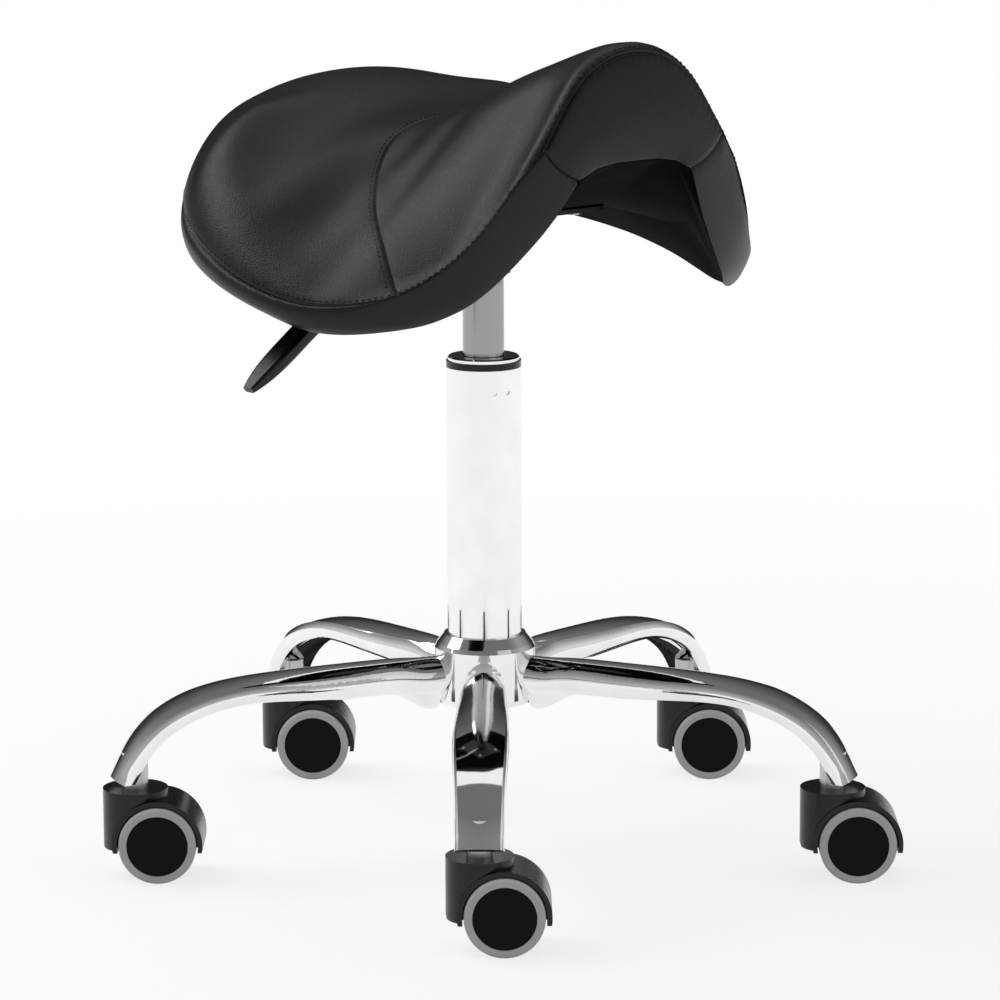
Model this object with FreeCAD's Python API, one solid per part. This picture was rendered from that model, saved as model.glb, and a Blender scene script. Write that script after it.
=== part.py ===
import FreeCAD, Part
import math
import os
from collections import namedtuple

# Saddle stool with a gas lift column and a five-leg base on twin-wheel casters.
# Millimetres, +Z up, origin on the column axis at floor level, the saddle's front towards -Y.

V = FreeCAD.Vector
X_AXIS = V(1, 0, 0)
Y_AXIS = V(0, 1, 0)
Z_AXIS = V(0, 0, 1)

# Driving dimensions: base and legs
leg_count = 5
first_leg_angle = -131.9
star_radius = 242.0
leg_axis_height = 120.5
leg_tube_width = 27.0
leg_wall = 1.5
leg_bend_radius = 130.0
leg_bend_angle = 25.0
leg_drop_radius = 72.0
leg_end_height = 65.0
leg_end_cap = 2.5
hub_radius = 34.0
hub_bottom = 101.0
hub_top = 148.0

# Driving dimensions: casters
wheel_radius = 25.5
disc_radius = 20.2
wheel_width = 16.0
wheel_edge_round = 1.6
caster_trail = 15.4
caster_turn = -41.0
caster_height = 60.0
boss_radius = 21.5
web_half_width = 8.3
web_radius = 19.0
wheel_gap = 0.4
wheel_pocket_clearance = 1.2
hood_wall = 3.0
hood_half_width = 22.5
hood_drop = 5.0
axle_radius = 4.0
running_clearance = 0.05
stem_radius = 5.5
stem_depth = 36.0
stem_top = 82.0
stem_collar_radius = 8.2
stem_collar_height = 3.0
socket_wall = 3.0
socket_top = 84.0

# Driving dimensions: column and gas lift
column_radius = 25.0
column_wall = 1.8
column_bottom = 104.0
column_top = 329.0
column_floor = 3.0
slit_count = 9
slit_width = 1.1
slit_height = 19.0
dimple_radius = 2.6
dimple_depth = 0.9
dimple_height = 315.0
dimple_angles = (-115.7, -93.2)
bushing_length = 62.0
bushing_flange = 4.5
cap_ring_height = 3.0
cap_ring_radius = 24.0
cylinder_radius = 13.8
cylinder_wall = 1.8
cylinder_bottom = 122.0
cylinder_floor = 4.0
cylinder_top = 408.0
cylinder_plug = 36.0
taper_start = 384.0
taper_end_radius = 12.8
rod_radius = 5.0
rod_foot_radius = 4.0
rod_top = 280.0
piston_length = 12.0
bearing_height = 5.0
bearing_radius = 16.0
clip_thickness = 1.5
clip_radius = 8.0
valve_pin_radius = 2.5
valve_pin_length = 29.0
valve_travel = 2.7

# Driving dimensions: seat mechanism
plate_width = 120.0
plate_length = 150.0
plate_centre_back = 15.0
plate_thickness = 3.0
plate_top = 437.0
socket_outer_radius = 18.0
cone_bottom = 392.0
lever_radius = 4.0
lever_height = 418.0
lever_pivot_reach = 26.0
lever_inner_reach = 5.0
lever_bend_reach = 84.0
lever_bend_radius = 14.0
lever_slope = 36.0
lever_steel_reach = 160.0
lever_gap = 0.3
pivot_pin_radius = 1.6
ear_thickness = 2.5
ear_gap = 0.3
handle_start_reach = 136.0
handle_end_reach = 198.0
handle_start_width = 20.0
handle_end_width = 12.0
handle_start_depth = 13.0
handle_end_depth = 7.0
bolt_radius = 3.0
bolt_spacing_x = 90.0
bolt_spacing_y = 110.0
bolt_head_radius = 5.5
bolt_head_height = 3.5

# Driving dimensions: seat
cover_thickness = 2.0
shell_thickness = 10.0
shell_edge_inset = 16.0
cross_seam_centre = -18.0
cross_seam_sweep = 114.0
cross_seam_power = 3.2
cross_seam_half_width = 155.0
band_bulge = 4.0
inset_limit = 2.0
seam_lift = 1.6
seam_reach = 14.0

# One leg section: distance out along the straight run or angle into a bend, width, crown and underside
# depths from the centre line, and half-height of the side lips. A deep underside is a round tube, a shallow
# one a pressed channel
LegSection = namedtuple("LegSection", "run bend width crown under lip")
leg_sections = (
    LegSection(26.0, 0.0, 27.0, 13.5, 13.5, 9.5),
    LegSection(60.0, 0.0, 28.5, 13.2, 13.0, 9.2),
    LegSection(95.0, 0.0, 32.0, 12.5, 11.0, 8.6),
    LegSection(130.0, 0.0, 35.0, 11.0, 8.5, 7.4),
    LegSection(157.0, 0.0, 36.3, 9.0, 4.0, 6.4),
    LegSection(157.0, 12.5, 36.3, 7.8, 1.8, 6.0),
    LegSection(157.0, 25.0, 35.0, 7.5, 1.0, 6.0),
    LegSection(157.0, 37.0, 33.5, 7.5, 1.0, 6.0),
    LegSection(157.0, 50.0, 32.5, 7.5, 1.0, 6.0),
    LegSection(157.0, 62.0, 31.5, 7.5, 1.0, 6.0),
)
leg_side_bulge = 2.5
leg_round_bulge = 3.95
leg_tail = 14.0

# One cross-section of the saddle: distance in front of the column axis, crown height, half-width and
# height of the hem seam, flank angle (0 on the rear dome), angle at the hem, radius of the hem sweep,
# half-width and height of the lower edge, height and flat half-width of the underside
Station = namedtuple("Station", "front crown half_width hem flank hem_angle hem_radius "
                                "low_half_width low underside flat")
saddle_stations = (
    Station(149, 549, 77, 492, 56, 52, 60, 48, 470, 478, 18),
    Station(141, 553, 97, 469, 54, 48, 60, 62, 446, 474, 20),
    Station(130, 552, 117, 440, 53, 42, 60, 82, 420, 468, 24),
    Station(115, 548, 135, 418, 52, 36, 60, 107, 394, 461, 30),
    Station(95, 541, 156, 402, 50, 32, 60, 130, 380, 451, 40),
    Station(70, 532, 171, 395, 46, 36, 60, 160, 374, 441, 54),
    Station(42, 521, 182, 393, 40, 50, 60, 174, 373, 436, 64),
    Station(10, 508, 189, 397, 33, 66, 45, 182, 380, 436, 66),
    Station(-28, 497, 191, 407, 0, 76, 56, 185, 390, 436, 66),
    Station(-60, 498, 187, 418, 0, 80, 68, 181, 398, 436, 66),
    Station(-95, 511, 174, 430, 0, 82, 88, 167, 406, 436, 64),
    Station(-125, 519, 154, 440, 0, 74, 90, 146, 414, 436, 56),
    Station(-150, 515, 131, 445, 0, 75, 80, 122, 419, 437, 46),
    Station(-172, 506, 102, 448, 0, 76, 70, 93, 423, 438, 34),
    Station(-188, 493, 69, 449, 0, 76, 53, 62, 426, 440, 20),
    Station(-199, 466, 26, 450, 0, 70, 16, 22, 431, 441, 6),
)


def export(name, shape):
    shape.exportStep(os.path.join("parts", name + ".step"))


def cylinder(radius, low, high, x=0.0, y=0.0):
    return Part.makeCylinder(radius, high - low, V(x, y, low))


def tube(outer, inner, low, high):
    return cylinder(outer, low, high).cut(cylinder(inner, low - 1, high + 1))


def cylinder_along_y(radius, half_length, x, z):
    return Part.makeCylinder(radius, 2 * half_length, V(x, -half_length, z), Y_AXIS)


def box(x0, x1, y0, y1, z0, z1):
    return Part.makeBox(x1 - x0, y1 - y0, z1 - z0, V(x0, y0, z0))


def revolve(profile):
    points = [V(radius, 0, height) for radius, height in profile]
    face = Part.Face(Part.makePolygon(points + points[:1]))
    return face.revolve(V(0, 0, 0), Z_AXIS, 360)


def arc(a, b, c):
    return Part.Arc(a, b, c).toShape()


def line(a, b):
    return Part.LineSegment(a, b).toShape()


def turned(shape, angle):
    copy = shape.copy()
    copy.rotate(V(0, 0, 0), Z_AXIS, angle)
    return copy


def moved(shape, x, y):
    copy = shape.copy()
    copy.translate(V(x, y, 0))
    return copy


def leg_angle(index):
    return first_leg_angle + index * 360.0 / leg_count


# Legs


def leg_frame(section, extra=0.0):
    """Centre point and downward tilt of the leg's path at a section."""
    first = min(section.bend, leg_bend_angle)
    second = max(section.bend - leg_bend_angle, 0.0)
    a = math.radians(first)
    x = section.run + leg_bend_radius * math.sin(a)
    z = leg_axis_height - leg_bend_radius * (1 - math.cos(a))
    b = math.radians(first + second)
    x += leg_drop_radius * (math.sin(b) - math.sin(a))
    z -= leg_drop_radius * (math.cos(a) - math.cos(b))
    x += extra * math.cos(b)
    z -= extra * math.sin(b)
    return V(x, 0, z), b


def leg_wire(section, wall, extra=0.0):
    centre, tilt = leg_frame(section, extra)
    up = V(math.sin(tilt), 0, math.cos(tilt))
    half = section.width / 2 - wall
    crown = section.crown - wall
    under = section.under - wall
    lip = section.lip - wall * 0.8
    roundness = (section.under - 1.0) / (leg_tube_width / 2 - 1.0)
    bulge = leg_side_bulge + (leg_round_bulge - leg_side_bulge) * roundness

    def at(side, height):
        return centre + Y_AXIS * side + up * height

    top_right = at(half - bulge, lip)
    top_left = at(bulge - half, lip)
    low_left = at(bulge - half, -lip)
    low_right = at(half - bulge, -lip)
    return Part.Wire([
        arc(top_right, at(0, crown), top_left),
        arc(top_left, at(-half, 0), low_left),
        arc(low_left, at(0, -under), low_right),
        arc(low_right, at(half, 0), top_right),
    ])


def leg_loft(wall):
    wires = [leg_wire(section, wall) for section in leg_sections]
    wires.append(leg_wire(leg_sections[-1], wall, leg_tail))
    return Part.makeLoft(wires, True, False)


def leg_shape():
    outer = leg_loft(0.0)
    void = leg_loft(leg_wall)
    reach = star_radius * 2
    below_end = box(0, reach, -reach, reach, 0, leg_end_height)
    below_cap = box(0, reach, -reach, reach, 0, leg_end_height + leg_end_cap)
    socket = cylinder(stem_socket_radius(), 0, socket_top, star_radius)
    socket_inside = cylinder(stem_socket_radius() + leg_wall, 0, socket_top + leg_wall, star_radius)
    leg = outer.cut(below_end).cut(void.cut(below_cap).cut(socket_inside))
    return leg.cut(socket).cut(cylinder(hub_radius, 0, hub_top * 2))


def stem_socket_radius():
    return stem_radius + running_clearance * 2 + socket_wall


def socket_shape():
    low = caster_height + stem_collar_height + running_clearance
    bore = stem_radius + running_clearance * 2
    return moved(tube(stem_socket_radius(), bore, low, socket_top), star_radius, 0)


def hub_shape():
    edge = 4.0
    shoulder = 9.0
    neck = 2.5
    profile = [
        (column_radius, hub_bottom),
        (hub_radius - edge, hub_bottom),
        (hub_radius - edge * 0.3, hub_bottom + edge * 0.35),
        (hub_radius, hub_bottom + edge * 1.2),
        (hub_radius, hub_top - shoulder),
        (hub_radius - edge * 0.4, hub_top - shoulder * 0.7),
        (column_radius + neck, hub_top),
        (column_radius, hub_top),
    ]
    return revolve(profile)


# Casters, in a frame with the stem on Z and the wheels trailing along +X


def stem_shape():
    low = caster_height - stem_depth
    collar = caster_height + running_clearance
    collar_top = collar + stem_collar_height
    tip = 1.0
    return revolve([
        (0, low),
        (stem_radius - tip, low),
        (stem_radius, low + tip),
        (stem_radius, collar),
        (stem_collar_radius, collar),
        (stem_collar_radius, collar_top),
        (stem_radius, collar_top),
        (stem_radius, stem_top - tip),
        (stem_radius - tip, stem_top),
        (0, stem_top),
    ])


def housing_shape():
    pocket = wheel_radius + wheel_pocket_clearance
    hood = pocket + hood_wall
    foot = wheel_radius - hood_drop
    boss = cylinder(boss_radius, foot, caster_height)
    round_length = caster_trail + boss_radius + 1.5
    front_round = cylinder_along_y(round_length, boss_radius, caster_trail, wheel_radius + 8.0)
    upper = box(-boss_radius, boss_radius, -boss_radius, boss_radius, wheel_radius + 8.0, caster_height)
    boss = boss.common(front_round.fuse(upper))
    shade = cylinder_along_y(hood, hood_half_width, caster_trail, wheel_radius)
    web = cylinder_along_y(web_radius, web_half_width, caster_trail, wheel_radius)
    reach = caster_trail + hood + 1
    shade = shade.cut(box(-reach, reach, -reach, reach, -reach, foot))
    body = boss.fuse(shade).fuse(web)
    pocket_half = (hood_half_width + wheel_width) / 2
    for side in (-1, 1):
        cutter = cylinder_along_y(pocket, pocket_half, caster_trail, wheel_radius)
        cutter.translate(V(0, side * (web_half_width + pocket_half), 0))
        body = body.cut(cutter)
    body = body.cut(cylinder_along_y(axle_radius, pocket, caster_trail, wheel_radius))
    bore = stem_radius + running_clearance
    body = body.cut(cylinder(bore, caster_height - stem_depth - 1, caster_height + 1))
    return body.removeSplitter()


def axle_half_length():
    return web_half_width + wheel_gap + wheel_width - 2.4


def axle_shape():
    return cylinder_along_y(axle_radius, axle_half_length(), caster_trail, wheel_radius)


def on_axle(shape, side):
    """Turn a wheel part from its own Z axis to the axle, on one side of the web."""
    copy = shape.copy()
    copy.rotate(V(0, 0, 0), X_AXIS, -90 * side)
    copy.translate(V(caster_trail, 0, wheel_radius))
    return copy


def disc_shape():
    inner = web_half_width + wheel_gap
    outer = inner + wheel_width
    face = outer - 2.2
    hub = axle_radius + 4.0
    rim = disc_radius - 2.4
    bore = axle_radius + running_clearance
    edge = 0.6
    return revolve([
        (bore, inner),
        (hub, inner),
        (hub, face - 1.5),
        (rim, face - 1.5),
        (rim, inner + 0.8),
        (disc_radius, inner + 0.8),
        (disc_radius, outer - edge),
        (disc_radius - edge, outer),
        (0, outer),
        (0, face),
        (bore, face),
    ])


def tread_shape():
    inner = web_half_width + wheel_gap + 0.8
    outer = web_half_width + wheel_gap + wheel_width - 0.3
    edge = wheel_edge_round
    near = edge * 0.3
    return revolve([
        (disc_radius, inner),
        (wheel_radius - edge, inner),
        (wheel_radius - near, inner + near),
        (wheel_radius, inner + edge),
        (wheel_radius, outer - edge),
        (wheel_radius - near, outer - near),
        (wheel_radius - edge, outer),
        (disc_radius, outer),
    ])


def placed_caster(shape, index):
    turned_shape = turned(shape, caster_turn)
    angle = math.radians(leg_angle(index))
    return moved(turned_shape, star_radius * math.cos(angle), star_radius * math.sin(angle))


# Column and gas lift


def column_shape():
    inner = column_radius - column_wall
    body = tube(column_radius, inner, column_bottom, column_top)
    floor = tube(inner, rod_foot_radius + running_clearance, column_bottom, column_bottom + column_floor)
    body = body.fuse(floor)
    for index in range(slit_count):
        half_slit = slit_width / 2
        slit = box(inner - 1, column_radius + 1, -half_slit, half_slit, hub_top, hub_top + slit_height)
        body = body.cut(turned(slit, first_leg_angle + index * 360.0 / slit_count))
    for angle in dimple_angles:
        start = V(column_radius - dimple_depth, 0, dimple_height)
        dimple = Part.makeCylinder(dimple_radius, column_wall, start, X_AXIS)
        body = body.cut(turned(dimple, angle))
    return body.removeSplitter()


def bushing_shape():
    outer = column_radius - column_wall
    bore = cylinder_radius + running_clearance
    low = column_top - bushing_length
    relief = 2.0
    return revolve([
        (bore, low),
        (outer, low),
        (outer, low + 12),
        (outer - relief, low + 14),
        (outer - relief, column_top - 16),
        (outer, column_top - 14),
        (outer, column_top),
        (column_radius, column_top),
        (column_radius, column_top + bushing_flange),
        (bore, column_top + bushing_flange),
    ])


def cap_ring_shape():
    low = column_top + bushing_flange
    high = low + cap_ring_height
    bore = cylinder_radius + 0.8
    edge = 1.0
    return revolve([
        (bore, low),
        (cap_ring_radius, low),
        (cap_ring_radius, high - edge),
        (cap_ring_radius - edge, high),
        (bore + edge, high),
        (bore, high - edge),
    ])


def bearing_shape():
    low = column_bottom + column_floor
    high = low + bearing_height
    bore = rod_foot_radius + running_clearance
    groove = 1.2
    middle = (low + high) / 2
    return revolve([
        (bore, low),
        (bearing_radius, low),
        (bearing_radius, middle - groove / 2),
        (bearing_radius - groove, middle - groove / 2),
        (bearing_radius - groove, middle + groove / 2),
        (bearing_radius, middle + groove / 2),
        (bearing_radius, high),
        (bore, high),
    ])


def rod_shoulder():
    return column_bottom + column_floor + bearing_height + running_clearance


def rod_shape():
    groove_top = column_bottom - running_clearance * 4
    groove_low = groove_top - clip_thickness
    groove = rod_foot_radius - 0.6
    return revolve([
        (0, groove_low - 1.2),
        (rod_foot_radius, groove_low - 1.2),
        (rod_foot_radius, groove_low),
        (groove, groove_low),
        (groove, groove_top),
        (rod_foot_radius, groove_top),
        (rod_foot_radius, rod_shoulder()),
        (rod_radius, rod_shoulder()),
        (rod_radius, rod_top),
        (0, rod_top),
    ])


def clip_shape():
    high = column_bottom - running_clearance * 4
    return tube(clip_radius, rod_foot_radius - 0.6, high - clip_thickness, high)


def piston_shape():
    inner = cylinder_radius - cylinder_wall
    return tube(inner - running_clearance, rod_radius, rod_top - piston_length, rod_top)


def lift_cylinder_shape():
    inner = cylinder_radius - cylinder_wall
    body = revolve([
        (0, cylinder_bottom),
        (cylinder_radius, cylinder_bottom),
        (cylinder_radius, taper_start),
        (taper_end_radius, cylinder_top),
        (0, cylinder_top),
    ])
    body = body.cut(cylinder(inner, cylinder_bottom + cylinder_floor, cylinder_top - cylinder_plug))
    rod_hole = rod_radius + running_clearance
    body = body.cut(cylinder(rod_hole, cylinder_bottom - 1, cylinder_bottom + cylinder_floor + 1))
    bore_bottom = valve_pin_top() - valve_pin_length - valve_travel * 2
    return body.cut(cylinder(valve_pin_radius + running_clearance, bore_bottom, cylinder_top + 1))


def valve_pin_top():
    return lever_height - lever_radius - lever_gap


def valve_pin_shape():
    return cylinder(valve_pin_radius, valve_pin_top() - valve_pin_length, valve_pin_top())


# Seat mechanism


def bolt_centres():
    return [
        (side_x * bolt_spacing_x / 2, plate_centre_back + side_y * bolt_spacing_y / 2)
        for side_x in (-1, 1)
        for side_y in (-1, 1)
    ]


def plate_shape():
    low = plate_top - plate_thickness
    front = plate_centre_back - plate_length / 2
    plate = box(-plate_width / 2, plate_width / 2, front, front + plate_length, low, plate_top)
    corners = [edge for edge in plate.Edges if abs(edge.tangentAt(edge.FirstParameter).z) > 0.9]
    plate = plate.makeFillet(12.0, corners)
    for x, y in bolt_centres():
        plate = plate.cut(cylinder(bolt_radius, low - 1, plate_top + 1, x, y))
    return plate


def cone_socket_shape():
    high = plate_top - plate_thickness
    slope = (cylinder_radius - taper_end_radius) / (cylinder_top - taper_start)
    mouth = cylinder_radius - slope * (cone_bottom - taper_start)
    body = revolve([
        (mouth, cone_bottom),
        (socket_outer_radius, cone_bottom),
        (socket_outer_radius, high),
        (taper_end_radius, high),
        (taper_end_radius, cylinder_top),
    ])
    inner_gap = lever_radius + ear_gap
    ear_outer = inner_gap + ear_thickness
    ear_low = lever_height - lever_radius - 3.0
    core = cylinder(socket_outer_radius - 1, 0, high)
    for side in (-1, 1):
        low_y, high_y = sorted((side * inner_gap, side * ear_outer))
        ear = box(-lever_pivot_reach - 7, -taper_end_radius, low_y, high_y, ear_low, high)
        body = body.fuse(ear.cut(core))
    slot = box(-socket_outer_radius - 1, -taper_end_radius + 3, -inner_gap, inner_gap,
               lever_height - lever_radius - 1.5, lever_height + lever_radius + 1.5)
    body = body.cut(slot)
    body = body.cut(cylinder_along_y(pivot_pin_radius, ear_outer + 1, -lever_pivot_reach, lever_height))
    return body.removeSplitter()


def pivot_pin_shape():
    half = lever_radius + ear_gap + ear_thickness + 1.2
    return cylinder_along_y(pivot_pin_radius, half, -lever_pivot_reach, lever_height)


def lever_point(reach, offset=0.0):
    """A point on the lever's line at a reach from the column axis, offset square to it in its plane."""
    slope = math.radians(lever_slope)
    drop = (reach - lever_bend_reach) * math.tan(slope)
    return V(-reach - offset * math.sin(slope), 0, lever_height - drop + offset * math.cos(slope))


def lever_shape():
    slope = math.radians(lever_slope)
    tangent = lever_bend_radius * math.tan(slope / 2)
    start = V(lever_inner_reach, 0, lever_height)
    bend_start = V(tangent - lever_bend_reach, 0, lever_height)
    bend_end = V(-lever_bend_reach - tangent * math.cos(slope), 0, lever_height - tangent * math.sin(slope))
    bend_middle = V(
        bend_start.x - lever_bend_radius * math.sin(slope / 2), 0,
        lever_height - lever_bend_radius * (1 - math.cos(slope / 2)))
    end = lever_point(lever_steel_reach)
    path = Part.Wire([line(start, bend_start), arc(bend_start, bend_middle, bend_end), line(bend_end, end)])
    ring = Part.Wire([Part.Circle(start, X_AXIS, lever_radius).toShape()])
    rod = path.makePipeShell([ring], True, True)
    hole = pivot_pin_radius + running_clearance
    return rod.cut(cylinder_along_y(hole, lever_radius + 1, -lever_pivot_reach, lever_height))


def handle_section(reach, width, depth):
    slope = math.radians(lever_slope)
    centre = lever_point(reach)
    up = V(-math.sin(slope), 0, math.cos(slope))
    corner = depth * 0.35
    diagonal = corner * (1 - math.sqrt(0.5))

    def at(side, height):
        return centre + Y_AXIS * side + up * height

    half = width / 2
    tall = depth / 2
    edges = []
    for sy, sz in ((1, 1), (-1, 1), (-1, -1), (1, -1)):
        vertical = at(sy * half, sz * (tall - corner))
        level = at(sy * (half - corner), sz * tall)
        middle = at(sy * (half - diagonal), sz * (tall - diagonal))
        first, last = (vertical, level) if sy * sz > 0 else (level, vertical)
        edges.append((first, middle, last))
    wire = []
    for index, (first, middle, last) in enumerate(edges):
        wire.append(arc(first, middle, last))
        wire.append(line(last, edges[(index + 1) % 4][0]))
    return Part.Wire(wire)


def handle_shape():
    span = handle_end_reach - handle_start_reach
    middle = handle_start_reach + span * 0.4
    shoulder = handle_end_reach - span * 0.12
    sections = [
        handle_section(handle_start_reach, handle_start_width, handle_start_depth),
        handle_section(middle, handle_start_width - 1.5, (handle_start_depth + handle_end_depth) / 2),
        handle_section(shoulder, handle_end_width + 2.0, handle_end_depth),
        handle_section(handle_end_reach, handle_end_width - 3.0, handle_end_depth * 0.6),
    ]
    return Part.makeLoft(sections, True, False).cut(lever_shape())


def bolt_shapes():
    high = plate_top + cover_thickness + shell_thickness
    low = plate_top - plate_thickness
    bolts = []
    for x, y in bolt_centres():
        shank = cylinder(bolt_radius, low - 0.1, high, x, y)
        head = cylinder(bolt_head_radius, low - bolt_head_height, low, x, y)
        bolts.append(shank.fuse(head).removeSplitter())
    return bolts


def tee_nut_shapes():
    low = plate_top + cover_thickness
    high = low + shell_thickness
    barrel = bolt_radius + 1.2
    flange = barrel + 5.0
    nuts = []
    for x, y in bolt_centres():
        nut = cylinder(barrel, low, high, x, y).fuse(cylinder(flange, high, high + 1.5, x, y))
        nuts.append(nut.cut(cylinder(bolt_radius, low - 1, high + 2, x, y)).removeSplitter())
    return nuts


# Saddle cross-sections


def crown_arcs(station, inset):
    """Half of the top profile, right of the centre: joints and middles of crown, flank and hem sweep."""
    hem_angle = math.radians(station.hem_angle)
    drop = station.crown - station.hem
    hem_radius = station.hem_radius
    if station.flank:
        flank = math.radians(station.flank)
        sign = 1 if hem_angle > flank else -1
        reach = station.half_width - sign * hem_radius * (math.sin(hem_angle) - math.sin(flank))
        fall = drop - sign * hem_radius * (math.cos(flank) - math.cos(hem_angle))
        half = math.tan(flank / 2)
        straight = (fall - reach * half) / (math.sin(flank) - math.cos(flank) * half)
        radius = (reach - straight * math.cos(flank)) / math.sin(flank)
        first = flank
    else:
        sign = 1
        fall = drop - hem_radius * (1 - math.cos(hem_angle))
        reach = station.half_width - hem_radius * math.sin(hem_angle)
        flank = 2 * math.atan2(fall, reach)
        radius = hem_radius + reach / math.sin(flank)
        first = flank / 2
        straight = 0.0
    crown_radius = radius - inset
    top = station.crown - inset

    def on_crown(angle):
        return (crown_radius * math.sin(angle), top - crown_radius * (1 - math.cos(angle)))

    crown_end = on_crown(first)
    if straight:
        flank_end = (crown_end[0] + straight * math.cos(flank), crown_end[1] - straight * math.sin(flank))
        flank_middle = None
    else:
        flank_end = on_crown(flank)
        flank_middle = on_crown((first + flank) / 2)
    sweep = hem_radius - sign * inset

    def on_hem(angle):
        return (flank_end[0] + sign * sweep * (math.sin(angle) - math.sin(flank)),
                flank_end[1] - sign * sweep * (math.cos(flank) - math.cos(angle)))

    return crown_end, flank_middle, flank_end, on_hem((flank + hem_angle) / 2), on_hem(hem_angle)


def underside_arc(station):
    """Radius and full angle of the arc from the flat underside down to the lower edge."""
    across = station.low_half_width - station.flat
    rise = station.underside - station.low
    radius = (across * across + rise * rise) / (2 * rise)
    return radius, 2 * math.atan2(rise, across)


def underside_point(station, angle, offset):
    radius, _ = underside_arc(station)
    outer = radius + offset
    return (station.flat + outer * math.sin(angle), station.underside - radius + outer * math.cos(angle))


def band_points(station, inset):
    """Middle and lower end of the border's arc below the hem seam, set in square to it."""
    across = station.half_width - station.low_half_width
    fall = station.hem - station.low
    length = math.hypot(across, fall)
    normal = (fall / length, -across / length)
    bulge = band_bulge - inset
    middle = ((station.half_width + station.low_half_width) / 2 + normal[0] * bulge,
              (station.hem + station.low) / 2 + normal[1] * bulge)
    _, angle = underside_arc(station)
    under = (-math.sin(angle), -math.cos(angle))
    turn = normal[0] * under[1] - normal[1] * under[0]
    step = (-inset * (under[1] - normal[1]) / turn, -inset * (normal[0] - under[0]) / turn)
    return middle, (station.low_half_width + step[0], station.low + step[1])


def middle(a, b):
    return ((a[0] + b[0]) / 2, (a[1] + b[1]) / 2)


def closed_outline(right_points, front):
    """A closed outline from the points of its right half, from the top down, and their mirror images."""
    left = [(-side, height) for side, height in reversed(right_points) if side > 0]
    vectors = [V(side, -front, height) for side, height in right_points + left]
    return Part.makePolygon(vectors + vectors[:1])


def saddle_wire(station, inset, front):
    crown_end, flank_middle, flank_end, hem_middle, hem_end = crown_arcs(station, inset)
    band_middle, low_end = band_points(station, inset)
    _, angle = underside_arc(station)
    top = station.crown - inset
    rise = 0.25 * (top - crown_end[1])
    return closed_outline([
        (0.0, top),
        (crown_end[0] / 2, top - rise),
        crown_end,
        flank_middle or middle(crown_end, flank_end),
        flank_end,
        hem_middle,
        hem_end,
        band_middle,
        low_end,
        underside_point(station, angle / 2, inset),
        (station.flat, station.underside + inset),
    ], front)


def outline_slopes(stations):
    """How far the seat's half-width changes along its length at each station."""
    pairs = zip(stations[:1] + stations, stations + stations[-1:])
    steps = [abs(b.half_width - a.half_width) / max(a.front - b.front, 1e-6) for a, b in pairs]
    return [max(min(before, after), 0.0) if 0 < index < len(stations) - 1 else max(before, after)
            for index, (before, after) in enumerate(zip(steps, steps[1:]))]


def saddle_envelope(inset):
    last = len(saddle_stations) - 1
    wires = []
    for index, (station, slope) in enumerate(zip(saddle_stations, outline_slopes(saddle_stations))):
        square = inset * min(math.hypot(1.0, slope), inset_limit)
        front = station.front + {0: -inset, last: inset}.get(index, 0.0)
        wires.append(saddle_wire(station, square, front))
    body = Part.makeLoft(wires, True, True)
    margin = 3.0 + inset
    front = plate_centre_back - plate_length / 2
    side = plate_width / 2 + margin
    pad = box(-side, side, front - margin, front + plate_length + margin, 0, plate_top + inset)
    return body.cut(pad)


def above_seam():
    """Everything above the hem seam and above the middle of the foam."""
    outside = 9.0
    sky = 620.0
    last = len(saddle_stations) - 1
    wires = []
    for index, station in enumerate(saddle_stations):
        crown_end = crown_arcs(station, 0.0)[0]
        _, angle = underside_arc(station)
        seam = station.hem + seam_lift
        front = station.front + {0: outside, last: -outside}.get(index, 0.0)
        wires.append(closed_outline([
            (0.0, sky),
            (station.half_width + outside, sky),
            (station.half_width + outside, seam),
            (station.half_width - seam_reach, seam),
            middle(crown_end, underside_point(station, angle / 2, 0.0)),
            (0.0, (station.crown + station.underside) / 2),
        ], front))
    return Part.makeLoft(wires, True, True)


def under_layer():
    """The layer over the underside that the moulded shell fills, short of the lower edges."""
    top = cover_thickness + shell_thickness
    below = -20.0
    wires = []
    for station in saddle_stations:
        radius, angle = underside_arc(station)
        end = angle - shell_edge_inset / radius
        upper = [underside_point(station, end * share, top) for share in (0.0, 0.5, 1.0)]
        lower = [underside_point(station, end * share, below) for share in (1.0, 0.5, 0.0)]
        right_points = [(0.0, upper[0][1])] + upper + lower + [(0.0, lower[-1][1])]
        wires.append(closed_outline(right_points, station.front))
    layer = Part.makeLoft(wires, True, True)
    reach = saddle_stations[0].front * 2
    first = -saddle_stations[0].front + shell_edge_inset
    last = -saddle_stations[-1].front - shell_edge_inset
    return layer.common(box(-reach, reach, first, last, 0, 2 * plate_top))


def front_of_cross_seam():
    """The space in front of the curved seam that crosses the seat."""
    reach = 210.0
    count = 12
    points = []
    for index in range(-count, count + 1):
        side = reach * index / count
        share = abs(side) / cross_seam_half_width
        front = cross_seam_centre + cross_seam_sweep * share ** cross_seam_power
        points.append(V(side, -front, 0))
    curve = Part.BSplineCurve()
    curve.interpolate(points)
    far = V(0, -3 * reach, 0)
    first = V(-reach, far.y, 0)
    last = V(reach, far.y, 0)
    wire = Part.Wire([curve.toShape(), line(points[-1], last), line(last, first), line(first, points[0])])
    return Part.Face(wire).extrude(V(0, 0, 2 * plate_top))


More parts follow.
